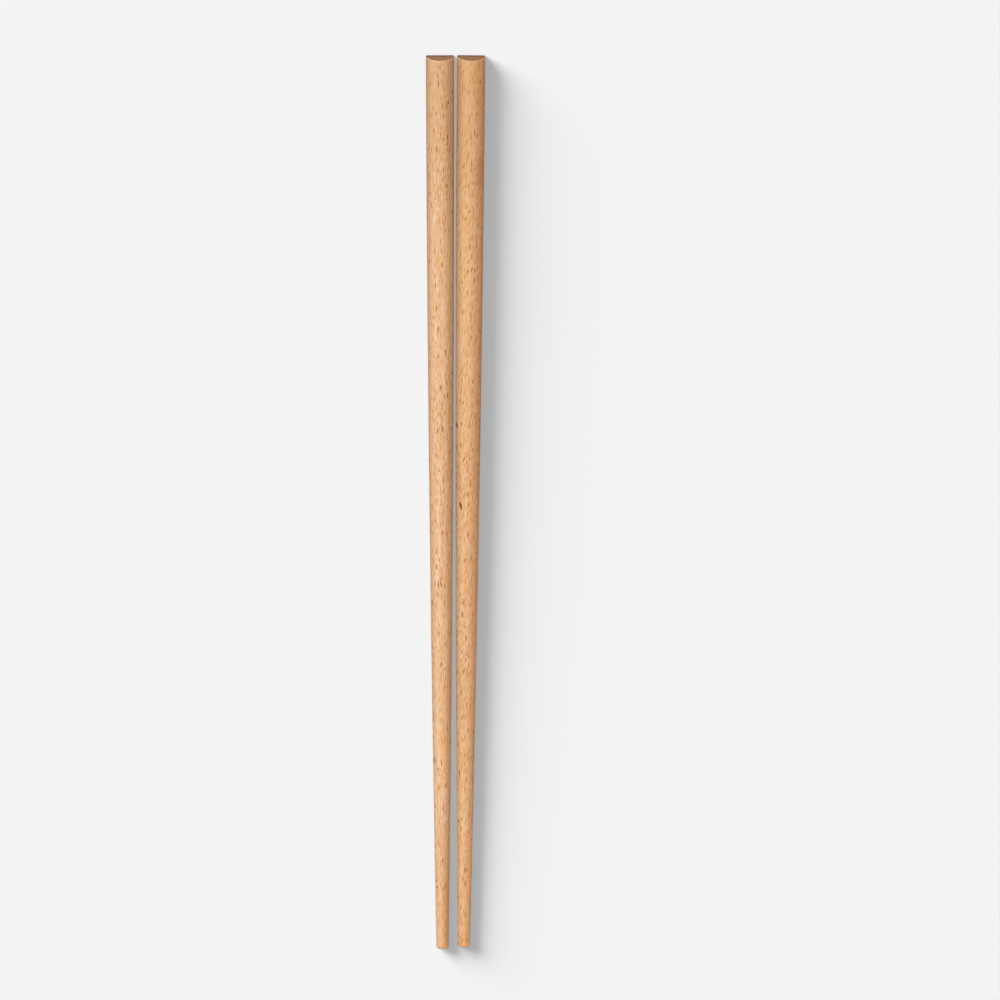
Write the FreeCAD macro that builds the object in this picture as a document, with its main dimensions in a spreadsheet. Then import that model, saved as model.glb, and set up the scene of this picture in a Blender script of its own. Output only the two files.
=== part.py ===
"""A pair of tapered wooden chopsticks, lying side by side on their flat undersides.

Millimetres. +Z is up, and the sticks rest on z = 0. They run along Y, with the thick ends
(the butts) at +Y and the eating tips at -Y. The origin is under the middle of the pair.
"""

import FreeCAD, Part

import math
import os

import Sketcher

doc = FreeCAD.newDocument("chopstick_pair")

# Driving sizes, in millimetres and degrees
SIZES = [
    ("stick_length", 240.0, "left stick, butt to tip"),
    ("right_shortfall", 0.4, "how much shorter the right stick is"),
    ("grip_from_butt", 80.0, "from the butt down to the grip section"),
    ("neck_from_tip", 80.0, "from the tip back up to the neck section"),
    ("butt_width", 7.4, "across the butt, the widest place"),
    ("grip_width", 6.8, "across the grip"),
    ("neck_width", 5.4, "across the neck, where the taper quickens"),
    ("tip_width", 3.2, "across the tip"),
    ("butt_thickness", 6.0, "underside to ridge at the butt"),
    ("grip_thickness", 5.6, "underside to ridge at the grip"),
    ("neck_thickness", 4.6, "underside to ridge at the neck"),
    ("tip_thickness", 3.05, "underside to crown at the tip, which is nearly round"),
    ("butt_corner_radius", 0.5, "underside corners at the butt"),
    ("tip_corner_radius", 0.85, "underside corners at the tip"),
    ("butt_side_height", 1.2, "top of the low upright sides at the butt"),
    ("tip_side_height", 1.3, "top of the low upright sides at the tip"),
    ("butt_shoulder_radius", 2.5, "upright side into sloping flank at the butt"),
    ("tip_shoulder_radius", 1.45, "upright side into sloping flank at the tip"),
    ("butt_ridge_radius", 2.6, "broad dome along the top at the butt"),
    ("tip_ridge_radius", 1.5, "dome along the top at the tip"),
    ("butt_edge_radius", 0.2, "sanded edge round the butt's end face"),
    ("tip_edge_radius", 0.2, "sanded edge round the tip's end face"),
    ("planing_allowance", 0.01, "thin layer planed off, so that the underside is truly flat"),
    ("closest_gap", 0.5, "least clearance between the two sticks"),
    ("left_lean", 0.16, "left stick's tip turned towards the right stick"),
    ("right_lean", 0.46, "right stick's tip turned towards the left stick"),
]

sizes = doc.addObject("Spreadsheet::Sheet", "sizes")
for row, (name, value, note) in enumerate(SIZES, start=1):
    sizes.set(f"A{row}", name)
    sizes.set(f"B{row}", str(value))
    sizes.set(f"C{row}", note)
    sizes.setAlias(f"B{row}", name)
doc.recompute()

# The edges of a section's outline, by their place in the list that section_outline gives
BASE, RIGHT_CORNER, RIGHT_SIDE, RIGHT_SHOULDER, RIGHT_FLANK = range(5)
RIDGE, LEFT_FLANK, LEFT_SHOULDER, LEFT_SIDE, LEFT_CORNER = range(5, 10)

# How a sketch constraint numbers an edge's ends and centre, and the two axes from the origin
START, END, CENTRE = range(1, 4)
ACROSS_AXIS, UPRIGHT_AXIS = range(-1, -3, -1)
ORIGIN = (ACROSS_AXIS, START)


def stations(length):
    """The four sections of a stick, each with its distance from the butt as an expression."""
    return [
        ("butt", "0"),
        ("grip", "sizes.grip_from_butt"),
        ("neck", f"{length} - sizes.neck_from_tip"),
        ("tip", length),
    ]


def blended(name, from_butt, length):
    """A size that passes evenly from its value at the butt to its value at the tip."""
    start = f"sizes.butt_{name}"
    end = f"sizes.tip_{name}"
    return f"{start} + ({end} - {start}) * ({from_butt}) / ({length})"


def section_outline(width, corner, side, shoulder, ridge, ridge_centre, allowance):
    """A domed section's ten edges, anticlockwise: x is across the stick and y is up.

    First the flat underside, then on the right the corner, upright side, shoulder and flank,
    then the ridge, and the same four back down on the left. The underside lies lower by the
    allowance, which is planed off the finished blank.
    """
    half = width / 2
    shoulder_x = half - shoulder
    flank_normal = math.atan2(shoulder_x, ridge_centre - side)
    flank_normal += math.asin((shoulder - ridge) / math.hypot(shoulder_x, ridge_centre - side))
    outwards = FreeCAD.Vector(math.cos(flank_normal), math.sin(flank_normal), 0)

    base_end = FreeCAD.Vector(half - corner, -allowance, 0)
    corner_middle = FreeCAD.Vector(half - corner, corner - allowance, 0)
    side_foot = FreeCAD.Vector(half, corner - allowance, 0)
    side_top = FreeCAD.Vector(half, side, 0)
    shoulder_middle = FreeCAD.Vector(shoulder_x, side, 0)
    ridge_middle = FreeCAD.Vector(0, ridge_centre, 0)
    flank_foot = shoulder_middle + outwards * shoulder
    flank_top = ridge_middle + outwards * ridge

    def mirrored(point):
        return FreeCAD.Vector(-point.x, point.y, 0)

    def arc(middle, radius, start, end):
        circle = Part.Circle(middle, FreeCAD.Vector(0, 0, 1), radius)
        return Part.ArcOfCircle(circle, start, end)

    quarter = math.pi / 2
    return [
        Part.LineSegment(mirrored(base_end), base_end),
        arc(corner_middle, corner, -quarter, 0),
        Part.LineSegment(side_foot, side_top),
        arc(shoulder_middle, shoulder, 0, flank_normal),
        Part.LineSegment(flank_foot, flank_top),
        arc(ridge_middle, ridge, flank_normal, math.pi - flank_normal),
        Part.LineSegment(mirrored(flank_top), mirrored(flank_foot)),
        arc(mirrored(shoulder_middle), shoulder, math.pi - flank_normal, math.pi),
        Part.LineSegment(mirrored(side_top), mirrored(side_foot)),
        arc(mirrored(corner_middle), corner, math.pi, math.pi + quarter),
    ]


def add_section(body, cross_plane, station, from_butt, length):
    """The sketch of one section across the stick, with its sizes bound to the sheet."""
    ridge_radius = blended("ridge_radius", from_butt, length)
    side_height = blended("side_height", from_butt, length)
    bound = {
        "width": f"sizes.{station}_width",
        "corner_radius": blended("corner_radius", from_butt, length),
        "shoulder_radius": blended("shoulder_radius", from_butt, length),
        "ridge_radius": ridge_radius,
        "ridge_centre_height": f"sizes.{station}_thickness - ({ridge_radius})",
        "right_side_height": side_height,
        "left_side_height": side_height,
        "planing_allowance": "sizes.planing_allowance",
    }
    now = {key: sizes.evalExpression(text) for key, text in bound.items()}

    sketch = body.newObject("Sketcher::SketchObject", f"{body.Name}_{station}")
    sketch.AttachmentSupport = (cross_plane, "")
    sketch.MapMode = "FlatFace"
    sketch.setExpression("AttachmentOffset.Base.z", from_butt)
    outline = section_outline(
        now["width"],
        now["corner_radius"],
        now["right_side_height"],
        now["shoulder_radius"],
        now["ridge_radius"],
        now["ridge_centre_height"],
        now["planing_allowance"],
    )
    sketch.addGeometry(outline, False)

    def hold(*what):
        return sketch.addConstraint(Sketcher.Constraint(*what))

    # Each edge runs smoothly into the next, all the way round
    for edge in range(len(outline)):
        hold("Tangent", edge, END, (edge + 1) % len(outline), START)
    hold("Symmetric", BASE, START, BASE, END, UPRIGHT_AXIS)
    hold("PointOnObject", RIDGE, CENTRE, UPRIGHT_AXIS)
    hold("Vertical", RIGHT_SIDE)
    hold("Vertical", LEFT_SIDE)
    hold("Equal", RIGHT_CORNER, LEFT_CORNER)
    hold("Equal", RIGHT_SHOULDER, LEFT_SHOULDER)

    measured = {
        "width": ("DistanceX", LEFT_SIDE, END, RIGHT_SIDE, START),
        "corner_radius": ("Radius", RIGHT_CORNER),
        "shoulder_radius": ("Radius", RIGHT_SHOULDER),
        "ridge_radius": ("Radius", RIDGE),
        "ridge_centre_height": ("DistanceY", *ORIGIN, RIDGE, CENTRE),
        "right_side_height": ("DistanceY", *ORIGIN, RIGHT_SIDE, END),
        "left_side_height": ("DistanceY", *ORIGIN, LEFT_SIDE, START),
        "planing_allowance": ("DistanceY", BASE, START, *ORIGIN),
    }
    for key, where in measured.items():
        sketch.renameConstraint(hold(*where, now[key]), key)
        sketch.setExpression(f"Constraints.{key}", bound[key])
    return sketch


def end_face(shape, from_butt):
    """The name of the flat face that closes the stick at that distance from the butt."""
    near = 1e-3
    for number, face in enumerate(shape.Faces, start=1):
        box = face.BoundBox
        if abs(box.YMin + from_butt) < near and abs(box.YMax + from_butt) < near:
            return f"Face{number}"
    raise ValueError(f"no end face {from_butt} mm from the butt")


def add_rounded_end(body, base, end, from_butt):
    """The sanded edge round one end face."""
    doc.recompute()
    rounded = body.newObject("PartDesign::Fillet", f"{body.Name}_{end}_edge")
    rounded.Base = (base, [end_face(base.Shape, from_butt)])
    rounded.setExpression("Radius", f"sizes.{end}_edge_radius")
    return rounded


def own_plane(body, role):
    """One of the three planes through the body's own origin."""
    return next(f for f in body.Origin.OriginFeatures if f.Role == role)


def plane_underside(body, length):
    """Everything below the body's own ground plane is cut away."""
    planed = body.newObject("PartDesign::SubtractiveBox", f"{body.Name}_planing")
    planed.AttachmentSupport = (own_plane(body, "XY_Plane"), "")
    planed.MapMode = "FlatFace"
    planed.setExpression("AttachmentOffset.Base.x", "-sizes.butt_width")
    planed.setExpression("AttachmentOffset.Base.y", f"-({length}) - sizes.butt_width")
    planed.setExpression("AttachmentOffset.Base.z", "-sizes.butt_thickness")
    planed.setExpression("Length", "2 * sizes.butt_width")
    planed.setExpression("Width", f"{length} + 2 * sizes.butt_width")
    planed.setExpression("Height", "sizes.butt_thickness")
    return planed


def add_chopstick(hand, length):
    """One stick, whose butt starts at the body's own origin and whose tip points along -Y."""
    body = doc.addObject("PartDesign::Body", f"{hand}_chopstick")
    body.Label = f"{hand}_chopstick"
    cross_plane = own_plane(body, "XZ_Plane")
    sections = [
        add_section(body, cross_plane, station, from_butt, length)
        for station, from_butt in stations(length)
    ]
    blank = body.newObject("PartDesign::AdditiveLoft", f"{hand}_blank")
    blank.Profile = sections[0]
    blank.Sections = sections[1:]
    blank.Ruled = False
    butt_rounded = add_rounded_end(body, blank, "butt", 0)
    add_rounded_end(body, butt_rounded, "tip", sizes.evalExpression(length))
    body.Tip = plane_underside(body, length)
    return body


LEFT_LENGTH = "sizes.stick_length"
RIGHT_LENGTH = "(sizes.stick_length - sizes.right_shortfall)"
left_chopstick = add_chopstick("left", LEFT_LENGTH)
right_chopstick = add_chopstick("right", RIGHT_LENGTH)

# The pair's spacing at the butts keeps the closest gap clear at every section, because the
# leaning sticks come nearest at whichever section is wide for its distance from the butt
CLOSING = "(tan(sizes.left_lean * 1 deg) + tan(sizes.right_lean * 1 deg))"
NEEDS = "; ".join(
    f"sizes.{station}_width + ({from_butt}) * {CLOSING}"
    for station, from_butt in stations(LEFT_LENGTH)
)
SPACING = f"(max({NEEDS}) + sizes.closest_gap)"
left_chopstick.setExpression("Placement.Base.x", f"-{SPACING} / 2")
right_chopstick.setExpression("Placement.Base.x", f"{SPACING} / 2")
left_chopstick.setExpression("Placement.Rotation.Angle", "sizes.left_lean")
right_chopstick.setExpression("Placement.Rotation.Angle", "-sizes.right_lean")
for chopstick in (left_chopstick, right_chopstick):
    chopstick.setExpression("Placement.Base.y", f"{LEFT_LENGTH} / 2")
doc.recompute()

for item in doc.Objects:
    if "Invalid" in item.State or "Error" in item.State:
        raise RuntimeError(f"{item.Name} is {item.State}")
for chopstick in (left_chopstick, right_chopstick):
    if chopstick.Shape.isNull() or not chopstick.Shape.isValid():
        raise RuntimeError(f"{chopstick.Label} has no valid shape")
    if len(chopstick.Shape.Solids) != 1:
        raise RuntimeError(f"{chopstick.Label} isn't one solid")

os.makedirs("parts", exist_ok=True)
for chopstick in (left_chopstick, right_chopstick):
    chopstick.Shape.exportStep(f"parts/{chopstick.Label}.step")
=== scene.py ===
"""A pair of tapered wooden chopsticks on a pale studio floor.

The sticks are cut by a Geometry Nodes tree from their own sizes, and stand for the CAD solids
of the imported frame. Everything is in metres, in the frame's own place.
"""

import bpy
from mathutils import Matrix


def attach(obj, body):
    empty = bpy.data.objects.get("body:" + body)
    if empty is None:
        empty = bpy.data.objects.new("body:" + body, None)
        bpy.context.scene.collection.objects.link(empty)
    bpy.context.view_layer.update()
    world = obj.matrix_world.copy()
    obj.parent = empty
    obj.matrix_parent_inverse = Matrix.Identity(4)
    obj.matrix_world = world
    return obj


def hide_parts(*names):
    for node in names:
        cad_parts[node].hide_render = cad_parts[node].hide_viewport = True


bl_info = {
    "name": "Chopstick pair",
    "version": (1, 0, 0),
    "blender": (4, 5, 0),
    "location": "3D View > Sidebar > Chopsticks",
    "description": "Cuts a pair of tapered chopsticks, finishes the wood and sets up the studio",
    "category": "Add Mesh",
}

import math

import bpy
from bpy.props import EnumProperty, FloatProperty, FloatVectorProperty, IntProperty, PointerProperty
from mathutils import Vector

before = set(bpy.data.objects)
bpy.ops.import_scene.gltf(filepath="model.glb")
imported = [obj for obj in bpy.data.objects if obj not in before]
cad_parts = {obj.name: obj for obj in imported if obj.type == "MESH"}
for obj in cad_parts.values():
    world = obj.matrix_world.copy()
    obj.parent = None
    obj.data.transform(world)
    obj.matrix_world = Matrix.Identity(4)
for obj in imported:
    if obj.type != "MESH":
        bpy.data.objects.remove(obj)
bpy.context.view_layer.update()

MM = 0.001
HANDS = ("left", "right")


# Settings that a user would change

def length_setting(name, description, millimetres, precision=3):
    """A length, shown in the scene's own units."""
    return FloatProperty(name=name, description=description, default=millimetres * MM,
                         unit="LENGTH", precision=precision)


def angle_setting(name, description, degrees=0.0):
    """An angle, shown in degrees."""
    return FloatProperty(name=name, description=description, default=math.radians(degrees),
                         subtype="ANGLE")


def share_setting(name, description, share):
    """A share from 0 to 1."""
    return FloatProperty(name=name, description=description, default=share, subtype="FACTOR",
                         min=0, max=1)


def colour_setting(name, description, colour):
    """A colour."""
    return FloatVectorProperty(name=name, description=description, subtype="COLOR", size=3,
                               min=0, max=1, default=colour)


def place_setting(name, description, millimetres):
    """A point in space."""
    return FloatVectorProperty(name=name, description=description, subtype="TRANSLATION",
                               default=[step * MM for step in millimetres], unit="LENGTH",
                               precision=5)


class StickShape(bpy.types.PropertyGroup):
    """The sizes that both sticks share."""

    butt_width: length_setting("Butt Width", "Across the thick end", 7.4)
    grip_width: length_setting("Grip Width", "Across the stick, a third of the way down", 6.8)
    neck_width: length_setting("Neck Width", "Across the stick, two thirds of the way down", 5.4)
    tip_width: length_setting("Tip Width", "Across the eating tip", 3.2)
    butt_thickness: length_setting("Butt Thickness", "Underside to ridge at the thick end", 6.0)
    grip_thickness: length_setting(
        "Grip Thickness", "Underside to ridge, a third of the way down", 5.6)
    neck_thickness: length_setting(
        "Neck Thickness", "Underside to ridge, two thirds of the way down", 4.6)
    tip_thickness: length_setting("Tip Thickness", "Underside to crown at the eating tip", 3.05)
    butt_corner: length_setting(
        "Butt Corner", "Radius of the underside corners at the thick end", 0.5)
    tip_corner: length_setting("Tip Corner", "Radius of the underside corners at the tip", 0.85)
    butt_side: length_setting(
        "Butt Side", "Height of the low upright sides at the thick end", 1.2)
    tip_side: length_setting("Tip Side", "Height of the low upright sides at the tip", 1.3)
    butt_shoulder: length_setting(
        "Butt Shoulder", "Radius from side to flank at the thick end", 2.5)
    tip_shoulder: length_setting("Tip Shoulder", "Radius from side to flank at the tip", 1.45)
    butt_ridge: length_setting("Butt Ridge", "Radius along the top at the thick end", 2.6)
    tip_ridge: length_setting("Tip Ridge", "Radius along the top at the tip", 1.5)
    butt_edge: length_setting("Butt Edge", "Sanded edge round the thick end's face", 0.2)
    tip_edge: length_setting("Tip Edge", "Sanded edge round the tip's face", 0.2)
    waver: length_setting("Waver", "How far sanding has dipped the faces below true", 0.035, 5)
    rings: IntProperty(
        name="Rings", description="Cross-sections between the two rounded ends", default=420)


class StickLay(bpy.types.PropertyGroup):
    """One stick's length and how it lies."""

    length: length_setting("Length", "Butt to tip", 240.0)
    butt_place: place_setting("Butt Place", "Middle of the butt's underside edge", (0, 120.0, 0))
    lean: angle_setting("Lean", "Turn about the upright axis")


class WoodTone(bpy.types.PropertyGroup):
    """One stick's own cut of wood."""

    pale: colour_setting("Pale Wood", "Lightest wood between the growth lines", (0.89, 0.72, 0.53))
    warm: colour_setting("Warm Wood", "Pinker, warmer wood", (0.84, 0.58, 0.39))
    growth: colour_setting(
        "Growth Line", "Darker wood at the end of a year's growth", (0.72, 0.365, 0.13))
    fleck: colour_setting("Ray Fleck", "Dark spindle marks", (0.34, 0.125, 0.03))
    small_fleck: colour_setting(
        "Small Fleck", "The many small marks between them", (0.46, 0.185, 0.055))
    # Real marks' colour, also laid on the upright sides as painted shade
    own_mark_and_shade_colour: colour_setting(
        "Own Mark And Shade Colour", "The marks that each stick has in places of its own", (0.2, 0.06, 0.012))
    handled: colour_setting("Handled Wood", "Dulled wood at the butt", (0.36, 0.25, 0.15))
    # Painted shade: this colour and share darken the low sides in place of the contact shadow there
    low_shade_colour: colour_setting("Low Shade Colour", "Darkened wood low on the sides", (0.37, 0.115, 0.02))
    low_shade_share: share_setting("Dark Sides", "How far the low sides have darkened", 0.56)
    # Darkens and reddens the right of the tip
    right_tip_dark: share_setting("Right Tip Dark", "Reddish stain down the right of the tip", 0.0)
    # Painted shade: the right of the stick, its shaded side, is painted warmer
    shade_side_warmth: share_setting("Shade Side Warmth", "How much warmer the right of the stick is", 0.0)
    fleck_share: share_setting("Fleck Share", "How many of the possible flecks are there", 0.3)
    small_strength: share_setting("Small Flecks", "How dark the many small flecks are", 0.8)
    fleck_width: FloatProperty(
        name="Fleck Width", description="Half the width of a fleck, in millimetres", default=0.15)
    fleck_length: FloatProperty(
        name="Fleck Length", description="Half the length of a fleck, in millimetres",
        default=0.9)
    grain_slope: angle_setting("Grain Slope", "How far the grain runs off the stick's own line")
    ring_turn: angle_setting("Ring Turn", "How the growth rings cross the stick's section")
    seed: FloatProperty(
        name="Seed", description="Moves the whole figure of the wood", default=0.0)


class BroadLamp(bpy.types.PropertyGroup):
    """A broad, distant lamp."""

    strength: FloatProperty(name="Strength", description="Brightness of the lamp", default=1.0)
    colour: colour_setting("Colour", "Colour of the light", (1.0, 1.0, 1.0))
    height: angle_setting("Height", "Angle above the floor", 45)
    bearing: angle_setting("Bearing", "Turn from the left towards the back", 30)
    spread: angle_setting("Spread", "How wide the lamp looks from the floor", 60)


class Studio(bpy.types.PropertyGroup):
    """Floor, lamps and camera."""

    floor_colour: colour_setting("Floor", "Colour of the pale floor", (0.905, 0.905, 0.905))
    floor_glow: share_setting(
        "Floor Glow", "Share of the floor's white that shadows leave", 0.2)
    sky_strength: FloatProperty(
        name="Soft Light", description="Even light from all round", default=0.12)
    stick_lamp: PointerProperty(
        type=BroadLamp, name="Stick Lamp", description="Very broad lamp over the sticks")
    warm_lamp: PointerProperty(
        type=BroadLamp, name="Warm Lamp", description="Weak light off other wood on the right")
    floor_lamp: PointerProperty(
        type=BroadLamp, name="Floor Lamp", description="Lamp whose light the sticks shade")
    broad_lamp: PointerProperty(
        type=BroadLamp, name="Broad Lamp", description="Broader light that softens the shade")
    fill_lamp: PointerProperty(
        type=BroadLamp, name="Fill Lamp", description="Weak lamp on the floor's other side")
    camera_tilt: angle_setting("Camera Tilt", "Turn from straight down towards the butts", 14)
    frame_width: length_setting("Frame Width", "Width of what the camera sees", 261.3)
    aim: place_setting("Aim", "Point of the floor at the middle of the picture", (11.62, 0.18, 0))


class ChopstickSettings(bpy.types.PropertyGroup):
    """All the settings of the pair."""

    shape: PointerProperty(type=StickShape)
    left_lay: PointerProperty(type=StickLay)
    right_lay: PointerProperty(type=StickLay)
    left_wood: PointerProperty(type=WoodTone)
    right_wood: PointerProperty(type=WoodTone)
    studio: PointerProperty(type=Studio)


# Arithmetic and wiring inside node trees

def feed(tree, socket, value):
    """Sets a socket to a plain value, or wires it to another node's output."""
    if isinstance(value, Number):
        value = value.source
    if isinstance(value, bpy.types.NodeSocket):
        tree.links.new(value, socket)
    else:
        socket.default_value = value


class Number:
    """A number inside a node tree. Arithmetic on it adds Math nodes to that tree."""

    def __init__(self, tree, source):
        self.tree = tree
        self.source = source

    def maths(self, operation, *others, clamp=False):
        node = self.tree.nodes.new("ShaderNodeMath")
        node.operation = operation
        node.use_clamp = clamp
        for socket, value in zip(node.inputs, (self, *others)):
            feed(self.tree, socket, value)
        return Number(self.tree, node.outputs[0])

    def __add__(self, other):
        return self.maths("ADD", other)

    def __radd__(self, other):
        return self.maths("ADD", other)

    def __sub__(self, other):
        return self.maths("SUBTRACT", other)

    def __rsub__(self, other):
        return Number(self.tree, other).maths("SUBTRACT", self)

    def __mul__(self, other):
        return self.maths("MULTIPLY", other)

    def __rmul__(self, other):
        return self.maths("MULTIPLY", other)

    def __truediv__(self, other):
        return self.maths("DIVIDE", other)

    def held(self):
        """The number, kept between 0 and 1."""
        return self.maths("ADD", 0.0, clamp=True)

    def smooth(self, low, high):
        """0 below the low value, 1 above the high value, and an even curve between."""
        node = self.tree.nodes.new("ShaderNodeMapRange")
        node.interpolation_type = "SMOOTHSTEP"
        feed(self.tree, node.inputs["Value"], self)
        feed(self.tree, node.inputs["From Min"], low)
        feed(self.tree, node.inputs["From Max"], high)
        return Number(self.tree, node.outputs["Result"])


def new_tree(name, kind, inputs, outputs):
    """A node tree with named sockets. Gives the tree, its inputs by name and its output node."""
    tree = bpy.data.node_groups.new(name, kind)
    for label, socket_type, value, subtype in inputs:
        socket = tree.interface.new_socket(name=label, in_out="INPUT", socket_type=socket_type)
        if subtype:
            socket.subtype = subtype
        if value is not None:
            socket.default_value = value
    for label, socket_type in outputs:
        tree.interface.new_socket(name=label, in_out="OUTPUT", socket_type=socket_type)
    entry = tree.nodes.new("NodeGroupInput")
    given = {}
    for label, socket_type, value, subtype in inputs:
        socket = entry.outputs[label]
        given[label] = Number(tree, socket) if socket_type == "NodeSocketFloat" else socket
    return tree, given, tree.nodes.new("NodeGroupOutput")


def vector_maths(tree, operation, first, second):
    """One step of vector arithmetic."""
    node = tree.nodes.new("ShaderNodeVectorMath")
    node.operation = operation
    feed(tree, node.inputs[0], first)
    feed(tree, node.inputs[1], second)
    return node.outputs["Vector"]


def combined(tree, x, y, z):
    """A vector made of three numbers."""
    node = tree.nodes.new("ShaderNodeCombineXYZ")
    for socket, value in zip(node.inputs, (x, y, z)):
        feed(tree, socket, value)
    return node.outputs["Vector"]


def separated(tree, vector):
    """The three numbers of a vector."""
    node = tree.nodes.new("ShaderNodeSeparateXYZ")
    feed(tree, node.inputs["Vector"], vector)
    return tuple(Number(tree, socket) for socket in node.outputs)


def noise(tree, vector, detail=2.0, roughness=0.5):
    """A soft pattern from about 0 to 1, one lump to each unit of the vector."""
    node = tree.nodes.new("ShaderNodeTexNoise")
    feed(tree, node.inputs["Vector"], vector)
    node.inputs["Scale"].default_value = 1.0
    node.inputs["Detail"].default_value = detail
    node.inputs["Roughness"].default_value = roughness
    return Number(tree, node.outputs["Fac"])


def mixed(tree, factor, first, second):
    """Two colours mixed."""
    node = tree.nodes.new("ShaderNodeMix")
    node.data_type = "RGBA"
    node.clamp_factor = True
    feed(tree, node.inputs["Factor"], factor)
    feed(tree, node.inputs["A"], first)
    feed(tree, node.inputs["B"], second)
    return node.outputs["Result"]


def arrange(tree):
    """Lays the nodes out in columns, each to the right of everything that feeds it."""
    depth = {node: 0 for node in tree.nodes}
    for _ in range(len(tree.nodes)):
        moved = False
        for link in tree.links:
            if depth[link.to_node] <= depth[link.from_node]:
                depth[link.to_node] = depth[link.from_node] + 1
                moved = True
        if not moved:
            break
    filled = {}
    for node, column in depth.items():
        row = filled.get(column, 0)
        node.location = (column * 200, -row * 190)
        filled[column] = row + 1


# The stick's shape

# Steps along half the outline, from the middle of the underside up to the ridge
UNDERSIDE_STEPS = 5
CORNER_STEPS = 5
SIDE_STEPS = 2
SHOULDER_STEPS = 8
FLANK_STEPS = 12
RIDGE_STEPS = 8
STRETCHES = (UNDERSIDE_STEPS, CORNER_STEPS, SIDE_STEPS, SHOULDER_STEPS, FLANK_STEPS, RIDGE_STEPS)
HALF_STEPS = sum(STRETCHES)

# Steps from the middle of an end face to its edge, and over the sanded edge
FACE_STEPS = 6
EDGE_STEPS = 5

# Where the middle of an end face lies, as a share of the stick's height there
FACE_MIDDLE = 0.42

# Points nearer to each other than this become one
MERGE_DISTANCE = 0.001 * MM

# Sanding spares what is below the first height, and has its full depth above the second
SPARED_HEIGHT = 0.3 * MM
SANDED_HEIGHT = 1.0 * MM

# The sizes that the tree takes, under the names of its inputs
SHAPE_SIZES = [(key.replace("_", " ").title(), key)
               for key in StickShape.__annotations__ if key != "rings"]


def through_stations(thirds, butt, grip, neck, tip):
    """The smooth curve through the four stations, which are a third of the stick apart."""
    first = grip - butt
    second = neck - 2 * grip + butt
    third = tip - 3 * neck + 3 * grip - butt
    pairs = thirds * (thirds - 1) / 2
    triples = pairs * (thirds - 2) / 3
    return butt + thirds * first + pairs * second + triples * third


def share_of(walked, start, steps):
    """How much of one stretch of the walk is behind, from 0 to 1."""
    return ((walked - start) / steps).held()


def walk_outline(around, half, height, corner, side, shoulder, ridge):
    """Where a walk up half the outline has got to: distance from the middle, and height.

    It goes along the underside, round the corner, up the side, round the shoulder, up the
    flank and over half the ridge. Each stretch adds its own part of the way.
    """
    middle_to_shoulder = half - shoulder
    rise = height - ridge - side
    reach = (middle_to_shoulder * middle_to_shoulder + rise * rise).maths("SQRT")
    turn = middle_to_shoulder.maths("ARCTAN2", rise)
    turn = turn + ((shoulder - ridge) / reach).maths("ARCSINE")
    quarter = math.pi / 2

    walked = 0
    shares = []
    for steps in STRETCHES:
        shares.append(share_of(around, walked, steps))
        walked += steps
    underside, corner_bend, side_rise, shoulder_bend, flank, ridge_bend = shares

    corner_angle = corner_bend * quarter
    shoulder_angle = shoulder_bend * turn
    ridge_angle = turn + ridge_bend * (quarter - turn)
    turn_cosine = turn.maths("COSINE")
    turn_sine = turn.maths("SINE")

    out = underside * (half - corner)
    out = out + corner * corner_angle.maths("SINE")
    out = out - shoulder * (1 - shoulder_angle.maths("COSINE"))
    out = out + flank * ((ridge - shoulder) * turn_cosine - middle_to_shoulder)
    out = out + ridge * (ridge_angle.maths("COSINE") - turn_cosine)

    up = corner * (1 - corner_angle.maths("COSINE"))
    up = up + side_rise * (side - corner)
    up = up + shoulder * shoulder_angle.maths("SINE")
    up = up + flank * (rise + (ridge - shoulder) * turn_sine)
    up = up + ridge * (ridge_angle.maths("SINE") - turn_sine)
    return out, up


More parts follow.
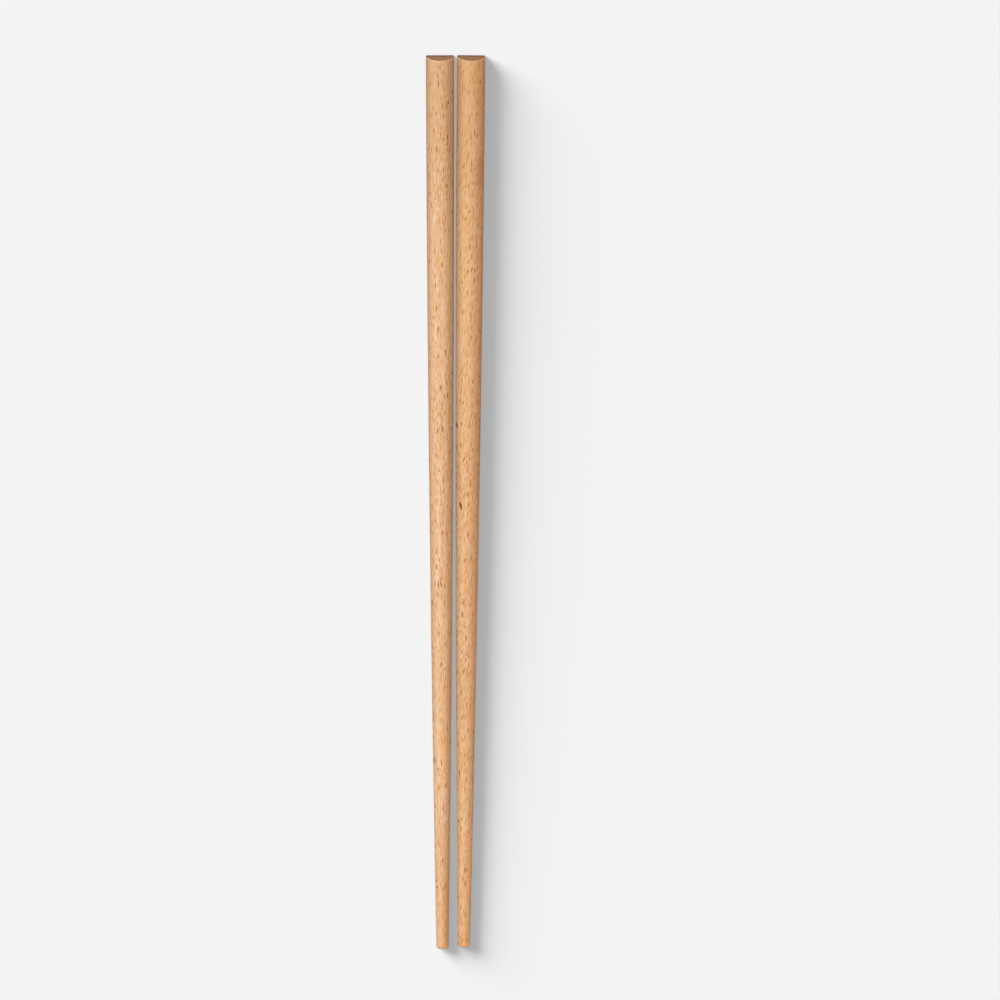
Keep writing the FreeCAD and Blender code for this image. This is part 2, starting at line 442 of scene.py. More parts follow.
def stick_tree():
    """The Geometry Nodes tree that cuts one stick from its sizes."""
    length_sockets = [("Length", "NodeSocketFloat", 240.0 * MM, "DISTANCE")]
    length_sockets += [(label, "NodeSocketFloat", 1.0 * MM, "DISTANCE") for label, _ in SHAPE_SIZES]
    tree, given, result = new_tree(
        "Tapered stick", "GeometryNodeTree",
        [("Geometry", "NodeSocketGeometry", None, None)] + length_sockets + [
            ("Rings", "NodeSocketInt", 420, None),
            ("Butt Place", "NodeSocketVector", (0.0, 0.0, 0.0), "TRANSLATION"),
            ("Lean", "NodeSocketFloat", 0.0, "ANGLE"),
            ("Seed", "NodeSocketFloat", 0.0, None),
            ("Wood", "NodeSocketMaterial", None, None),
        ],
        [("Geometry", "NodeSocketGeometry")])
    nodes = tree.nodes
    end_steps = FACE_STEPS + EDGE_STEPS
    rings = Number(tree, given["Rings"])
    steps_along = rings + 2 * end_steps

    # A flat grid, one unit between neighbours: along the stick, then round its outline
    grid = nodes.new("GeometryNodeMeshGrid")
    feed(tree, grid.inputs["Vertices X"], steps_along + 1)
    grid.inputs["Vertices Y"].default_value = 2 * HALF_STEPS + 1
    feed(tree, grid.inputs["Size X"], steps_along)
    grid.inputs["Size Y"].default_value = 2 * HALF_STEPS

    grid_along, grid_round, _ = separated(tree, nodes.new("GeometryNodeInputPosition").outputs[0])
    along = grid_along + steps_along / 2
    around = HALF_STEPS - grid_round.maths("ABSOLUTE")

    # The walk from the butt's face to the tip's face
    face_out = share_of(along, 0, FACE_STEPS)
    butt_bend = share_of(along, FACE_STEPS, EDGE_STEPS) * (math.pi / 2)
    run = share_of(along, end_steps, rings)
    tip_bend = share_of(along, rings + end_steps, EDGE_STEPS) * (math.pi / 2)
    face_in = share_of(along, rings + end_steps + EDGE_STEPS, FACE_STEPS)
    butt_edge = given["Butt Edge"]
    tip_edge = given["Tip Edge"]
    from_butt = butt_edge * (1 - butt_bend.maths("COSINE"))
    from_butt = from_butt + run * (given["Length"] - butt_edge - tip_edge)
    from_butt = from_butt + tip_edge * tip_bend.maths("SINE")
    inset = butt_edge * (1 - butt_bend.maths("SINE")) + tip_edge * (1 - tip_bend.maths("COSINE"))
    spread = face_out * (1 - face_in)

    # The section there, drawn in by the inset all the way round
    way = from_butt / given["Length"]
    thirds = way * 3
    sizes = {}
    for name in ("Width", "Thickness"):
        four = [given[f"{station} {name}"] for station in ("Butt", "Grip", "Neck", "Tip")]
        sizes[name] = through_stations(thirds, *four)
    for name in ("Corner", "Side", "Shoulder", "Ridge"):
        butt = given[f"Butt {name}"]
        tip = given[f"Tip {name}"]
        sizes[name] = butt + (tip - butt) * way - inset
    out, up = walk_outline(
        around, sizes["Width"] / 2 - inset, sizes["Thickness"] - 2 * inset,
        sizes["Corner"], sizes["Side"], sizes["Shoulder"], sizes["Ridge"])
    face_middle = sizes["Thickness"] * FACE_MIDDLE
    across = out * grid_round.maths("SIGN") * spread
    height = face_middle + (up + inset - face_middle) * spread
    placed = nodes.new("GeometryNodeSetPosition")
    feed(tree, placed.inputs["Geometry"], grid.outputs["Mesh"])
    feed(tree, placed.inputs["Position"], combined(tree, across, 0 - from_butt, height))

    # The outline closes on itself under the stick, and each end face closes at its middle
    merged = nodes.new("GeometryNodeMergeByDistance")
    feed(tree, merged.inputs["Geometry"], placed.outputs["Geometry"])
    merged.inputs["Distance"].default_value = MERGE_DISTANCE

    # Sanding dips the faces a hair below true, but not the underside that the stick rests on
    spot = nodes.new("GeometryNodeInputPosition").outputs[0]
    stretched = vector_maths(tree, "DIVIDE", spot, (2.6 * MM, 17 * MM, 2.6 * MM))
    seeded = vector_maths(tree, "ADD", stretched, combined(tree, given["Seed"], given["Seed"], 0.0))
    dip = noise(tree, seeded, detail=1.0)
    above_floor = separated(tree, spot)[2].smooth(SPARED_HEIGHT, SANDED_HEIGHT)
    normal = nodes.new("GeometryNodeInputNormal").outputs[0]
    scaled = tree.nodes.new("ShaderNodeVectorMath")
    scaled.operation = "SCALE"
    feed(tree, scaled.inputs[0], normal)
    feed(tree, scaled.inputs["Scale"], 0 - dip * above_floor * given["Waver"])
    sanded = nodes.new("GeometryNodeSetPosition")
    feed(tree, sanded.inputs["Geometry"], merged.outputs["Geometry"])
    feed(tree, sanded.inputs["Offset"], scaled.outputs["Vector"])

    laid = nodes.new("GeometryNodeTransform")
    feed(tree, laid.inputs["Geometry"], sanded.outputs["Geometry"])
    feed(tree, laid.inputs["Translation"], given["Butt Place"])
    feed(tree, laid.inputs["Rotation"], combined(tree, 0.0, 0.0, given["Lean"]))
    shaded = nodes.new("GeometryNodeSetShadeSmooth")
    feed(tree, shaded.inputs["Geometry"], laid.outputs["Geometry"])
    realised = nodes.new("GeometryNodeRealizeInstances")
    feed(tree, realised.inputs["Geometry"], shaded.outputs["Geometry"])
    dressed = nodes.new("GeometryNodeSetMaterial")
    feed(tree, dressed.inputs["Geometry"], realised.outputs["Geometry"])
    feed(tree, dressed.inputs["Material"], given["Wood"])
    feed(tree, result.inputs["Geometry"], dressed.outputs["Geometry"])
    arrange(tree)
    return tree


def made_plain(name, tree, values):
    """Runs a Geometry Nodes tree with these inputs and keeps what it makes as a plain mesh."""
    draft = bpy.data.objects.new(f"{name}_draft", bpy.data.meshes.new(f"{name}_draft"))
    bpy.context.scene.collection.objects.link(draft)
    modifier = draft.modifiers.new("Cut", "NODES")
    modifier.node_group = tree
    for item in tree.interface.items_tree:
        if item.in_out == "INPUT" and item.name in values:
            modifier[item.identifier] = values[item.name]
    graph = bpy.context.evaluated_depsgraph_get()
    mesh = bpy.data.meshes.new_from_object(draft.evaluated_get(graph), depsgraph=graph)
    mesh.name = name
    draft.modifiers.remove(modifier)
    bpy.data.objects.remove(draft)
    piece = bpy.data.objects.new(name, mesh)
    bpy.context.scene.collection.objects.link(piece)
    return piece


# The wood

def fleck_group():
    """Spindle-shaped marks along the grain, where the surface cuts the wood's rays."""
    vector = "NodeSocketVector"
    number = "NodeSocketFloat"
    tree, given, result = new_tree(
        "Spindle marks", "ShaderNodeTree",
        [
            ("Place", vector, None, None),
            ("Seed", number, 0.0, None),
            ("Spacing Across", number, 1.0, None),
            ("Spacing Along", number, 4.0, None),
            ("Half Width", number, 0.2, None),
            ("Half Length", number, 0.9, None),
            ("Share", number, 0.5, None),
            ("Banding", number, 0.0, None),
            ("Softness", number, 0.4, None),
        ],
        [("Mask", number)])
    depth = 14.0
    cell = combined(tree, given["Spacing Across"], given["Spacing Along"], depth)
    shift = combined(tree, given["Seed"], given["Seed"] * 1.7, given["Seed"] * 0.6)
    scaled = vector_maths(tree, "ADD", vector_maths(tree, "DIVIDE", given["Place"], cell), shift)
    voronoi = tree.nodes.new("ShaderNodeTexVoronoi")
    voronoi.voronoi_dimensions = "3D"
    voronoi.feature = "F1"
    feed(tree, voronoi.inputs["Vector"], scaled)
    voronoi.inputs["Scale"].default_value = 1.0
    voronoi.inputs["Randomness"].default_value = 0.9
    centre = voronoi.outputs["Position"]
    away = vector_maths(tree, "MULTIPLY", vector_maths(tree, "SUBTRACT", scaled, centre), cell)
    across, along, _ = separated(tree, away)
    chance, long_or_short, wide_or_narrow = separated(tree, voronoi.outputs["Color"])

    # Each mark has its own length, width and slight slant, and its sides run to a point
    length = given["Half Length"] * (0.45 + long_or_short * 0.95)
    width = given["Half Width"] * (0.6 + wide_or_narrow * 0.7)
    slanted = across - along * (wide_or_narrow - 0.5) * 0.22
    ahead = along / length
    inside = 1 - ahead * ahead - (slanted / width).maths("ABSOLUTE")
    shape = inside.smooth(0.0, given["Softness"])

    # Marks crowd into loose bands along the stick
    band_cell = combined(tree, 0.55, 0.07, 0.3)
    bands = noise(tree, vector_maths(tree, "MULTIPLY", centre, band_cell), detail=1.0)
    wanted = given["Share"] * (1 + given["Banding"] * (bands - 0.5) * 4)
    kept = chance.maths("LESS_THAN", wanted)
    strength = 0.5 + long_or_short * 0.5
    feed(tree, result.inputs["Mask"], shape * kept * strength)
    arrange(tree)
    return tree


def grain_group():
    """Soft streaks that run along the stick, finer and finer."""
    number = "NodeSocketFloat"
    tree, given, result = new_tree(
        "Long grain", "ShaderNodeTree",
        [
            ("Place", "NodeSocketVector", None, None),
            ("Seed", number, 0.0, None),
            ("Streak Width", number, 0.8, None),
            ("Streak Length", number, 20.0, None),
        ],
        [("Streaks", number)])
    cell = combined(tree, given["Streak Width"], given["Streak Length"], given["Streak Width"])
    shift = combined(tree, given["Seed"] * 1.3, given["Seed"], given["Seed"] * 0.4)
    scaled = vector_maths(tree, "ADD", vector_maths(tree, "DIVIDE", given["Place"], cell), shift)
    streaks = noise(tree, scaled, detail=4.0, roughness=0.6)
    feed(tree, result.inputs["Streaks"], streaks.smooth(0.3, 0.7))
    arrange(tree)
    return tree


def ring_group():
    """Growth rings: each year's wood darkens slowly, then starts again pale."""
    number = "NodeSocketFloat"
    tree, given, result = new_tree(
        "Growth rings", "ShaderNodeTree",
        [
            ("Place", "NodeSocketVector", None, None),
            ("Seed", number, 0.0, None),
            ("Turn", number, 0.0, "ANGLE"),
            ("Spacing", number, 2.3, None),
        ],
        [("Rings", number)])
    across, _, height = separated(tree, given["Place"])
    outwards = across * given["Turn"].maths("COSINE") + height * given["Turn"].maths("SINE")
    wander_cell = vector_maths(tree, "DIVIDE", given["Place"], (7.0, 55.0, 7.0))
    shift = combined(tree, given["Seed"], given["Seed"] * 0.7, 0.0)
    wander = noise(tree, vector_maths(tree, "ADD", wander_cell, shift))
    years = (outwards + wander * 3.2) / given["Spacing"] + given["Seed"]
    season = years.maths("FRACT")
    late = season.smooth(0.35, 0.93) * (1 - season.smooth(0.93, 1.0))
    feed(tree, result.inputs["Rings"], late)
    arrange(tree)
    return tree


def end_grain_group():
    """Where the surface is an end face, from the distance to the butt's and the tip's face."""
    number = "NodeSocketFloat"
    tree, given, result = new_tree(
        "End faces", "ShaderNodeTree",
        [
            ("Place", "NodeSocketVector", None, None),
            ("Length", number, 240.0, None),
        ],
        [("Mask", number), ("Rays", number), ("Foot Shade", number), ("Rim Highlight", number)])
    across, along, height = separated(tree, given["Place"])
    butt = along.smooth(-0.2, -0.02)
    tip = (0 - along - given["Length"]).smooth(-0.28, -0.02)
    feed(tree, result.inputs["Mask"], (butt + tip).held())
    lines = combined(tree, across / 0.22, 0.0, height / 0.9)
    feed(tree, result.inputs["Rays"], noise(tree, lines, detail=3.0).smooth(0.38, 0.62))

    # Painted shade: the face is darker low down, where shade falls at its foot
    feed(tree, result.inputs["Foot Shade"], 1 - height.smooth(0.7, 1.9))
    # Painted highlight: a pale band just behind the butt's face, along its edge
    feed(tree, result.inputs["Rim Highlight"], along.smooth(-0.6, -0.35) * (1 - along.smooth(-0.15, -0.02)))
    arrange(tree)
    return tree


def blemish_group():
    """One dark mark in a place of its own, such as a mineral streak."""
    number = "NodeSocketFloat"
    tree, given, result = new_tree(
        "Single mark", "ShaderNodeTree",
        [
            ("Place", "NodeSocketVector", None, None),
            ("Across", number, 0.0, None),
            ("Along", number, 0.0, None),
            ("Half Width", number, 0.3, None),
            ("Half Length", number, 1.0, None),
            ("Slant", number, 0.0, None),
        ],
        [("Mask", number)])
    across, along, height = separated(tree, given["Place"])
    along = along - given["Along"]
    across = across - given["Across"] - along * given["Slant"]
    wobble = noise(tree, vector_maths(tree, "DIVIDE", given["Place"], (0.3, 0.8, 4.0)))
    ahead = along / given["Half Length"]
    inside = 1 - ahead * ahead - (across / given["Half Width"]).maths("ABSOLUTE")
    inside = inside + (wobble - 0.5) * 0.3
    above = height.smooth(0.5, 0.9)
    feed(tree, result.inputs["Mask"], inside.smooth(0.0, 0.5) * above)
    arrange(tree)
    return tree


WOOD_GROUPS = {
    "Spindle marks": fleck_group,
    "Long grain": grain_group,
    "Growth rings": ring_group,
    "End faces": end_grain_group,
    "Single mark": blemish_group,
}

# Marks of its own on each stick: across and along from the butt's middle, half width and half
# length in millimetres, then slant and strength
OWN_MARKS = {
    "left": [
        (0.54, -3.2, 0.15, 0.75, 0.0, 0.75), (0.79, -6.4, 0.14, 0.7, 0.0, 0.6),
        (0.26, -10.2, 0.13, 0.6, 0.0, 0.5), (2.14, -11.6, 0.17, 0.9, 0.0, 0.8),
        (-1.01, -14.4, 0.15, 0.75, 0.0, 0.7), (0.87, -15.1, 0.14, 0.7, 0.0, 0.55),
        (1.87, -20.7, 0.15, 0.75, 0.0, 0.75), (1.87, -22.7, 0.14, 0.6, 0.0, 0.7),
        (1.86, -24.3, 0.14, 0.55, 0.0, 0.6), (-0.43, -24.2, 0.13, 0.6, 0.0, 0.5),
        (0.78, -29.5, 0.15, 0.7, 0.0, 0.65), (-0.63, -29.6, 0.14, 0.6, 0.0, 0.6),
        (-1.43, -33.9, 0.14, 0.65, 0.0, 0.6), (1.81, -33.9, 0.15, 0.75, 0.0, 0.75),
        (1.65, -35.9, 0.14, 0.6, 0.0, 0.7), (1.70, -37.6, 0.14, 0.6, 0.0, 0.65),
        (-0.05, -45.3, 0.14, 0.7, 0.0, 0.5), (-1.45, -51.4, 0.15, 0.65, 0.0, 0.7),
        (1.17, -84.8, 0.14, 0.7, 0.0, 0.6), (-0.66, -95.5, 0.15, 0.8, 0.0, 0.75),
        (0.61, -116.3, 0.15, 0.75, 0.05, 0.75), (-0.05, -118.6, 0.14, 0.7, 0.05, 0.65),
        (1.57, -120.5, 0.14, 0.65, 0.0, 0.65), (-0.48, -134.8, 0.16, 0.8, 0.05, 0.8),
        (-1.25, -136.9, 0.15, 0.75, 0.05, 0.7), (-2.42, -146.8, 0.42, 0.85, 0.0, 0.3),
        (0.82, -146.1, 0.14, 0.7, 0.0, 0.6), (-1.89, -189.2, 0.46, 1.15, 0.0, 0.5),
        (-0.98, -191.4, 0.26, 0.5, 0.1, 0.75), (-1.56, -221.8, 0.36, 0.3, 0.1, 0.7),
        (-1.38, -223.5, 0.36, 0.3, 0.1, 0.7), (0.33, -226.0, 0.13, 0.7, 0.0, 0.55),
    ],
    "right": [
        (2.44, -6.2, 0.2, 0.75, 0.0, 0.7), (-3.38, -19.7, 0.16, 0.7, 0.0, 0.7),
        (-3.41, -23.4, 0.18, 0.6, 0.0, 0.8), (0.40, -28.8, 0.3, 1.6, 0.05, 0.22),
        (2.50, -30.5, 1.3, 5.5, 0.0, 0.2),
        (-2.93, -99.1, 0.36, 0.95, -0.1, 0.85), (2.43, -92.8, 0.15, 0.8, 0.05, 0.6),
        (2.21, -97.9, 0.16, 0.8, 0.05, 0.55), (-1.77, -120.3, 0.42, 1.35, -0.2, 1.0),
        (-2.61, -110.1, 0.16, 0.7, 0.0, 0.6), (-1.11, -149.7, 0.28, 1.15, 0.12, 0.75),
        (-0.64, -147.1, 0.15, 0.7, 0.1, 0.5), (-2.48, -154.6, 0.2, 0.4, 0.0, 0.6),
        (-1.53, -192.5, 0.24, 0.85, 0.1, 0.75), (-1.77, -194.7, 0.15, 0.7, 0.1, 0.5),
        (-1.71, -205.7, 0.24, 0.6, 0.1, 0.7), (-1.59, -226.4, 0.18, 0.6, 0.0, 0.65),
        (-1.49, -236.3, 0.16, 0.6, 0.0, 0.5), (-1.42, -238.7, 0.2, 0.5, 0.0, 0.6),
    ],
}


# The dome that the grain is unrolled off, in millimetres: the height of its axis, its radius at
# the butt, and how much of that each millimetre towards the tip takes away
DOME_AXIS = 1.6
DOME_RADIUS = 4.0
DOME_TAPER = 0.01

# A stick's length and its height at the butt, in millimetres, and how much lower its tip is
STICK_LENGTH = 240.0
BUTT_HEIGHT = 6.0
TIP_LOWER = 2.95

# How much flatter than wide the ray marks of the sides are
RAY_FLATNESS = 10.0

END_PALE = (0.44, 0.2, 0.085)
END_DARK = (0.18, 0.07, 0.03)
# Painted shade at the foot of the end faces
END_FOOT_SHADE = (0.1, 0.035, 0.015)

DULL_SHEEN = 0.12
GRAIN_DEPTH = 0.03 * MM


def effect(tree, name, **values):
    """Places one of the shared wood groups, with its own values, and gives its node."""
    group = bpy.data.node_groups.get(name) or WOOD_GROUPS[name]()
    node = tree.nodes.new("ShaderNodeGroup")
    node.node_tree = group
    node.label = name
    for key, value in values.items():
        feed(tree, node.inputs[key.replace("_", " ").title()], value)
    return node


def opaque(colour):
    """A colour with its fourth number."""
    return (*colour, 1.0)


def beech_wood(hand, lay, wood):
    """Fine-sanded, lightly oiled beech, with this stick's own figure."""
    material = bpy.data.materials.new(f"beech_{hand}")
    material.use_nodes = True
    tree = material.node_tree
    shader = tree.nodes["Principled BSDF"]

    # Millimetres in the stick's own place: x across, y back from the butt's face, z up
    where = tree.nodes.new("ShaderNodeTexCoord").outputs["Object"]
    own = tree.nodes.new("ShaderNodeMapping")
    own.vector_type = "TEXTURE"
    feed(tree, own.inputs["Vector"], where)
    own.inputs["Location"].default_value = lay.butt_place
    own.inputs["Rotation"].default_value = (0.0, 0.0, lay.lean)
    own.inputs["Scale"].default_value = (MM, MM, MM)
    place = own.outputs["Vector"]
    across, along, up = separated(tree, place)

    # The same, unrolled off the dome, so that marks keep their width round the stick
    bend = across.maths("ARCTAN2", up - DOME_AXIS)
    unrolled = combined(tree, bend * (DOME_RADIUS + along * DOME_TAPER), along, 0.0)
    turned = tree.nodes.new("ShaderNodeMapping")
    feed(tree, turned.inputs["Vector"], unrolled)
    turned.inputs["Rotation"].default_value = (0.0, 0.0, wood.grain_slope)
    skin = turned.outputs["Vector"]

    broad = effect(tree, "Long grain", place=place, seed=wood.seed,
                   streak_width=1.5, streak_length=34.0)
    fine = effect(tree, "Long grain", place=skin, seed=wood.seed + 11,
                  streak_width=0.3, streak_length=9.0)
    grit = effect(tree, "Long grain", place=skin, seed=wood.seed + 17,
                  streak_width=0.26, streak_length=2.4)
    mottle = effect(tree, "Long grain", place=place, seed=wood.seed + 23,
                    streak_width=1.3, streak_length=4.5)
    rings = effect(tree, "Growth rings", place=place, seed=wood.seed + 3,
                   turn=wood.ring_turn, spacing=2.4)
    flecks = effect(tree, "Spindle marks", place=skin, seed=wood.seed + 5,
                    spacing_across=0.85, spacing_along=3.0, half_width=wood.fleck_width,
                    half_length=wood.fleck_length, share=wood.fleck_share, banding=1.3,
                    softness=0.3)
    small = effect(tree, "Spindle marks", place=skin, seed=wood.seed + 31,
                   spacing_across=0.42, spacing_along=2.8, half_width=0.1,
                   half_length=1.2, share=0.7, banding=0.7, softness=0.5)
    pores = effect(tree, "Spindle marks", place=skin, seed=wood.seed + 47,
                   spacing_across=0.24, spacing_along=2.0, half_width=0.06,
                   half_length=0.9, share=0.6, banding=0.2, softness=0.6)
    shallow = vector_maths(tree, "MULTIPLY", place, (1.0, 1.0, RAY_FLATNESS))
    side_rays = effect(tree, "Spindle marks", place=shallow, seed=wood.seed + 61,
                       spacing_across=0.6, spacing_along=2.0, half_width=0.18,
                       half_length=0.6, share=0.5, banding=1.3, softness=0.4)
    ends = effect(tree, "End faces", place=place, length=lay.length / MM)

    def out(node, name):
        return Number(tree, node.outputs[name])

    # Body colour, from the broadest change to the finest
    # Painted shade: the stick's right, shaded side is painted warmer
    painted_shade_warmth = across.smooth(-2.5, 3.5) * wood.shade_side_warmth
    warmth = (out(broad, "Streaks") * 0.55 + out(mottle, "Streaks") * 0.35 + painted_shade_warmth).held()
    colour = mixed(tree, warmth, opaque(wood.pale), opaque(wood.warm))
    colour = mixed(tree, out(rings, "Rings") * 0.2, colour, opaque(wood.growth))
    colour = mixed(tree, (1 - out(fine, "Streaks")) * 0.6, colour, opaque(wood.growth))
    colour = mixed(tree, (1 - out(grit, "Streaks")) * 0.6, colour, opaque(wood.growth))
    darker_ends = along.smooth(-70.0, 8.0) * 0.3 + (0 - along).smooth(190.0, 260.0) * 0.22
    colour = mixed(tree, darker_ends, colour, opaque(wood.growth))
    colour = mixed(tree, along.smooth(-60.0, -5.0) * 0.15, colour, opaque(wood.handled))
    # Darker and redder down the right of the tip
    tip_darkening = (0 - along).smooth(198.0, 228.0) * across.smooth(-0.6, 0.9) * wood.right_tip_dark
    colour = mixed(tree, tip_darkening, colour, opaque(wood.growth))
    colour = mixed(tree, tip_darkening * 0.35, colour, opaque(wood.fleck))

    # Painted shade: the low sides are darkened by their share of the stick's height there, for the
    # contact shadow by the floor and the other stick
    down = along / STICK_LENGTH
    share_up = up / (BUTT_HEIGHT - down * down * TIP_LOWER)
    low = 1 - share_up.smooth(0.22, 0.8)
    colour = mixed(tree, low * wood.low_shade_share, colour, opaque(wood.low_shade_colour))
    # Painted shade: the upright sides are darkened further with the marks' colour, for the deepest
    # shade at the floor
    upright = 1 - share_up.smooth(0.12, 0.46)
    colour = mixed(tree, upright * 0.32, colour, opaque(wood.own_mark_and_shade_colour))

    # Marks, then the thirsty end grain
    colour = mixed(tree, out(pores, "Mask") * 0.45, colour, opaque(wood.small_fleck))
    colour = mixed(tree, out(small, "Mask") * wood.small_strength, colour,
                   opaque(wood.small_fleck))
    colour = mixed(tree, out(flecks, "Mask") * 0.95, colour, opaque(wood.fleck))

    # On the sides, which follow the rays, the rays show as short, broader marks
    broad_marks = out(side_rays, "Mask") * low.smooth(0.05, 0.5) * 0.75
    colour = mixed(tree, broad_marks, colour, opaque(wood.fleck))
    own_marks = None
    for mark_across, mark_along, half_width, half_length, slant, strength in OWN_MARKS[hand]:
        mark = effect(tree, "Single mark", place=place, across=mark_across, along=mark_along,
                      half_width=half_width, half_length=half_length, slant=slant)
        mask = out(mark, "Mask") * strength
        own_marks = mask if own_marks is None else own_marks + mask
    colour = mixed(tree, own_marks, colour, opaque(wood.own_mark_and_shade_colour))
    # Painted highlight: the pale band round the butt's edge
    colour = mixed(tree, out(ends, "Rim Highlight") * 0.3, colour, opaque(wood.pale))
    cut_end = mixed(tree, out(ends, "Rays") * 0.8, opaque(END_PALE), opaque(END_DARK))
    # Painted shade: the end face darkens towards its foot
    cut_end = mixed(tree, out(ends, "Foot Shade") * 0.8, cut_end, opaque(END_FOOT_SHADE))
    colour = mixed(tree, out(ends, "Mask") * 0.9, colour, cut_end)
    feed(tree, shader.inputs["Base Color"], colour)

    # Satin, a little duller in the marks and on the end grain
    marks = (out(flecks, "Mask") + out(pores, "Mask") * 0.6 + own_marks).held()
    roughness = 0.46 + out(fine, "Streaks") * 0.08 + marks * 0.16 + out(ends, "Mask") * 0.2
    feed(tree, shader.inputs["Roughness"], roughness)
    shader.inputs["Specular IOR Level"].default_value = DULL_SHEEN

    # Open grain: the marks are hollows and the streaks stand up a little
    height = out(fine, "Streaks") * 0.5 + out(broad, "Streaks") * 0.3
    height = height - out(flecks, "Mask") * 0.9 - out(small, "Mask") * 0.5
    height = height - out(pores, "Mask") * 0.9
    height = height - out(ends, "Mask") * out(ends, "Rays") * 1.5
    bump = tree.nodes.new("ShaderNodeBump")
    bump.inputs["Strength"].default_value = 0.2
    bump.inputs["Distance"].default_value = GRAIN_DEPTH
    feed(tree, bump.inputs["Height"], height)
    feed(tree, shader.inputs["Normal"], bump.outputs["Normal"])
    arrange(tree)
    return material


class CHOPSTICKS_OT_cut_stick(bpy.types.Operator):
    """Cuts one stick, finishes its wood and lays it in its place"""

    bl_idname = "chopsticks.cut_stick"
    bl_label = "Cut Stick"

    hand: EnumProperty(
        name="Hand", description="Which stick of the pair, as seen from above",
        items=[(hand, hand.title(), f"The {hand} stick") for hand in HANDS])

    def execute(self, context):
        settings = context.scene.chopstick_pair
        lay = getattr(settings, f"{self.hand}_lay")
        wood = getattr(settings, f"{self.hand}_wood")
        tree = bpy.data.node_groups.get("Tapered stick") or stick_tree()
        values = {label: getattr(settings.shape, key) for label, key in SHAPE_SIZES}
        values["Length"] = lay.length
        values["Rings"] = settings.shape.rings
        values["Butt Place"] = tuple(lay.butt_place)
        values["Lean"] = lay.lean
        values["Seed"] = wood.seed
        values["Wood"] = beech_wood(self.hand, lay, wood)
        piece = made_plain(f"{self.hand}_stick", tree, values)
        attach(piece, "root")
        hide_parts(f"{self.hand}_chopstick")

        # The sticks don't tint the floor with their own warm colour
        piece.visible_diffuse = False
        return {"FINISHED"}


# The studio

# Each lamp's strength, then its height, bearing and spread in degrees
LAMPS = {
    "stick_lamp": (2.8, 66, 15, 130),
    "warm_lamp": (0.58, 48, 180, 80),
    "floor_lamp": (5.3, 20, 38, 36),
    "broad_lamp": (1.15, 32, 42, 60),
    "fill_lamp": (0.5, 40, -140, 90),
}
STICK_LAMPS = ("stick_lamp", "warm_lamp")

FLOOR_REACH = 4.0
FLOOR_HEIGHT = -0.02 * MM
FLOOR_TOOTH = 0.4 * MM


def seen_by_eye(tree):
    """1 where a ray comes straight from the camera, or by way of metal or glass."""
    path = tree.nodes.new("ShaderNodeLightPath")
    kinds = ("Camera", "Glossy", "Transmission")
    rays = [Number(tree, path.outputs[f"Is {kind} Ray"]) for kind in kinds]
    return (rays[0] + rays[1] + rays[2]).held()


def floor_material(colour, glow):
    """Matt pale board. Part of its white is its own glow, which the camera alone sees."""
    material = bpy.data.materials.new("pale_board")
    material.use_nodes = True
    tree = material.node_tree
    shader = tree.nodes["Principled BSDF"]
    where = tree.nodes.new("ShaderNodeTexCoord").outputs["Object"]
    tooth = noise(tree, vector_maths(tree, "DIVIDE", where, (FLOOR_TOOTH,) * 3))
    shader.inputs["Base Color"].default_value = opaque(colour)
    feed(tree, shader.inputs["Roughness"], 0.9 + tooth * 0.08)
    shader.inputs["Specular IOR Level"].default_value = 0.0
    own_light = tree.nodes.new("ShaderNodeEmission")
    own_light.inputs["Color"].default_value = opaque(colour)
    blend = tree.nodes.new("ShaderNodeMixShader")
    feed(tree, blend.inputs["Fac"], seen_by_eye(tree) * glow)
    feed(tree, blend.inputs[1], shader.outputs["BSDF"])
    feed(tree, blend.inputs[2], own_light.outputs["Emission"])
    feed(tree, tree.nodes["Material Output"].inputs["Surface"], blend.outputs["Shader"])
    arrange(tree)
    return material


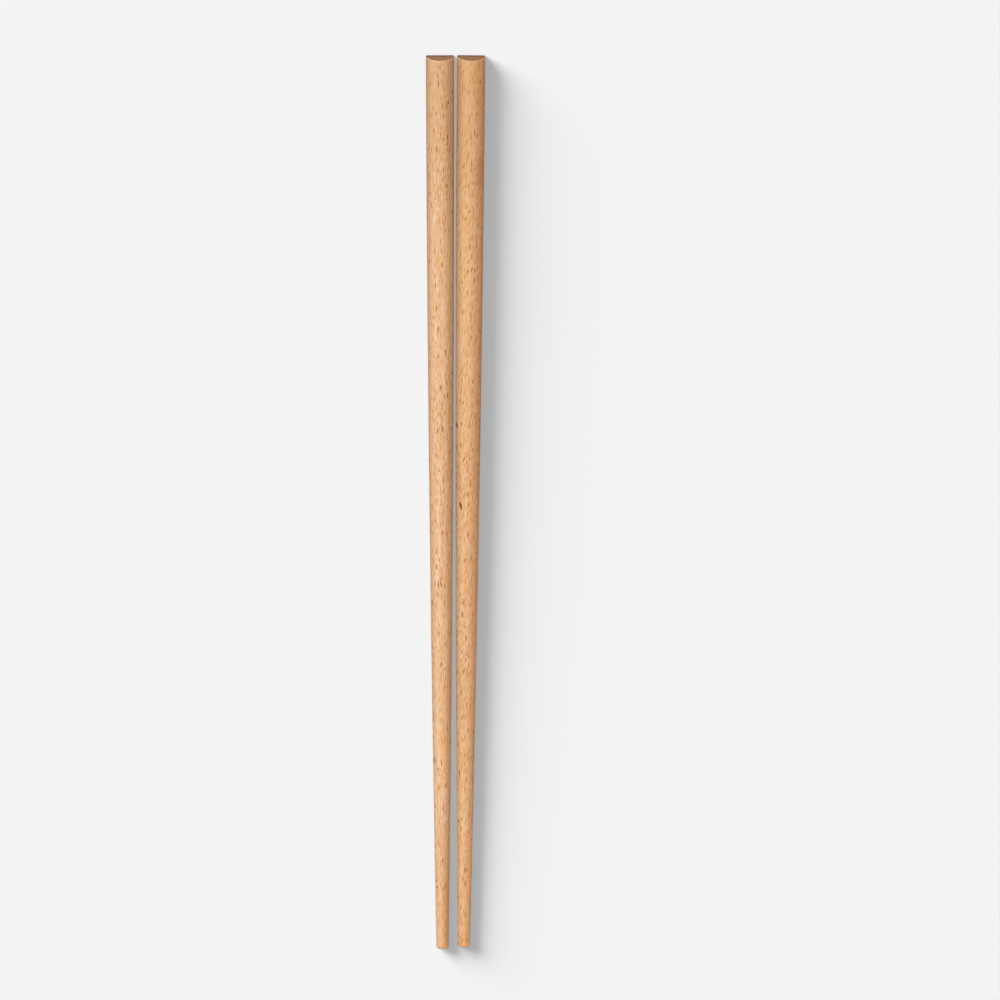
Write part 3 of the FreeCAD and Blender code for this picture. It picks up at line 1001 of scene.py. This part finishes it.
class CHOPSTICKS_OT_lay_stage(bpy.types.Operator):
    """Sets up the pale floor, the soft light and the camera"""

    bl_idname = "chopsticks.lay_stage"
    bl_label = "Lay Stage"

    def execute(self, context):
        studio = context.scene.chopstick_pair.studio
        context.scene.view_settings.view_transform = "Standard"
        floor = self.lay_floor(context.scene, studio)
        self.soft_light(context.scene, studio)
        sticks = [context.scene.objects[f"{hand}_stick"] for hand in HANDS]
        for name in LAMPS:
            lit = sticks if name in STICK_LAMPS else [floor]
            self.hang_lamp(context.scene, name, getattr(studio, name), lit)
        self.aim_camera(context.scene, studio)
        return {"FINISHED"}

    def lay_floor(self, scene, studio):
        corners = [(x * FLOOR_REACH, y * FLOOR_REACH, FLOOR_HEIGHT)
                   for x, y in ((-1, -1), (1, -1), (1, 1), (-1, 1))]
        mesh = bpy.data.meshes.new("floor")
        mesh.from_pydata(corners, [], [(0, 1, 2, 3)])
        mesh.materials.append(floor_material(studio.floor_colour, studio.floor_glow))
        floor = bpy.data.objects.new("floor", mesh)
        scene.collection.objects.link(floor)
        return floor

    def soft_light(self, scene, studio):
        world = bpy.data.worlds.new("soft_light")
        world.use_nodes = True
        scene.world = world
        tree = world.node_tree
        shader = tree.nodes["Background"]
        shader.inputs["Color"].default_value = opaque(studio.floor_colour)
        even = studio.sky_strength / studio.floor_colour[1]
        feed(tree, shader.inputs["Strength"], even + seen_by_eye(tree) * (1.0 - even))
        arrange(tree)

    def hang_lamp(self, scene, name, settings, lit):
        """A lamp that lights only these objects, while everything casts its shadow."""
        light = bpy.data.lights.new(name, "SUN")
        light.energy = settings.strength
        light.color = settings.colour
        light.angle = settings.spread
        lamp = bpy.data.objects.new(name, light)
        level = math.cos(settings.height)
        towards = Vector((
            -level * math.cos(settings.bearing),
            level * math.sin(settings.bearing),
            math.sin(settings.height),
        ))
        lamp.location = towards
        lamp.rotation_euler = towards.to_track_quat("Z", "Y").to_euler()
        scene.collection.objects.link(lamp)
        receivers = bpy.data.collections.new(f"lit_by_{name}")
        for item in lit:
            receivers.objects.link(item)
        lamp.light_linking.receiver_collection = receivers

    def aim_camera(self, scene, studio):
        lens = bpy.data.cameras.new("camera")
        lens.type = "ORTHO"
        lens.ortho_scale = studio.frame_width
        lens.clip_start = 0.01
        lens.clip_end = 20.0
        camera = bpy.data.objects.new("camera", lens)
        away = Vector((0.0, math.sin(studio.camera_tilt), math.cos(studio.camera_tilt)))
        camera.location = Vector(studio.aim) + away
        camera.rotation_euler = (-studio.camera_tilt, 0.0, 0.0)
        scene.collection.objects.link(camera)
        scene.camera = camera


class CHOPSTICKS_PT_pair(bpy.types.Panel):
    """Buttons and settings for the pair, in the 3D view's sidebar"""

    bl_idname = "CHOPSTICKS_PT_pair"
    bl_label = "Chopstick Pair"
    bl_space_type = "VIEW_3D"
    bl_region_type = "UI"
    bl_category = "Chopsticks"

    def draw(self, context):
        layout = self.layout
        for hand in HANDS:
            label = f"Cut {hand.title()} Stick"
            button = layout.operator(CHOPSTICKS_OT_cut_stick.bl_idname, text=label)
            button.hand = hand
        layout.operator(CHOPSTICKS_OT_lay_stage.bl_idname)
        settings = context.scene.chopstick_pair
        groups = {key: getattr(settings, key) for key in ChopstickSettings.__annotations__}
        groups |= {key: getattr(settings.studio, key) for key in LAMPS}
        for key, group in groups.items():
            box = layout.box()
            box.label(text=key.replace("_", " ").title())
            for name in group.__annotations__:
                if not isinstance(getattr(group, name), bpy.types.PropertyGroup):
                    box.prop(group, name)


CLASSES = (
    StickShape,
    StickLay,
    WoodTone,
    BroadLamp,
    Studio,
    ChopstickSettings,
    CHOPSTICKS_OT_cut_stick,
    CHOPSTICKS_OT_lay_stage,
    CHOPSTICKS_PT_pair,
)


def register():
    for item in CLASSES:
        bpy.utils.register_class(item)
    bpy.types.Scene.chopstick_pair = PointerProperty(type=ChopstickSettings)


def unregister():
    del bpy.types.Scene.chopstick_pair
    for item in reversed(CLASSES):
        bpy.utils.unregister_class(item)


def set_pair_apart(settings):
    """Where the lamps, and the two sticks, differ from each other."""
    for name, (strength, height, bearing, spread) in LAMPS.items():
        lamp = getattr(settings.studio, name)
        lamp.strength = strength
        lamp.height = math.radians(height)
        lamp.bearing = math.radians(bearing)
        lamp.spread = math.radians(spread)
    settings.studio.warm_lamp.colour = (1.0, 0.57, 0.3)

    left = settings.left_lay
    left.length = 240.0 * MM
    left.butt_place = (-4.08285 * MM, 120.0 * MM, 0.0)
    left.lean = math.radians(0.16)
    right = settings.right_lay
    right.length = 239.6 * MM
    right.butt_place = (4.08285 * MM, 120.0 * MM, 0.0)
    right.lean = math.radians(-0.46)

    left = settings.left_wood
    left.seed = 2.0
    left.pale = (0.885, 0.72, 0.525)
    left.warm = (0.835, 0.58, 0.39)
    left.fleck_share = 0.26
    left.fleck_width = 0.155
    left.fleck_length = 0.9
    left.small_strength = 0.78
    left.right_tip_dark = 0.5
    left.grain_slope = math.radians(-2)
    left.ring_turn = math.radians(35)
    right = settings.right_wood
    right.seed = 57.0
    right.pale = (0.835, 0.64, 0.425)
    right.warm = (0.765, 0.495, 0.305)
    right.fleck_share = 0.34
    right.fleck_width = 0.14
    right.fleck_length = 0.85
    right.small_strength = 0.9
    right.shade_side_warmth = 0.35
    right.grain_slope = math.radians(5)
    right.ring_turn = math.radians(-20)


def main():
    register()
    set_pair_apart(bpy.context.scene.chopstick_pair)
    for hand in HANDS:
        bpy.ops.chopsticks.cut_stick(hand=hand)
    bpy.ops.chopsticks.lay_stage()


if __name__ == "__main__":
    main()
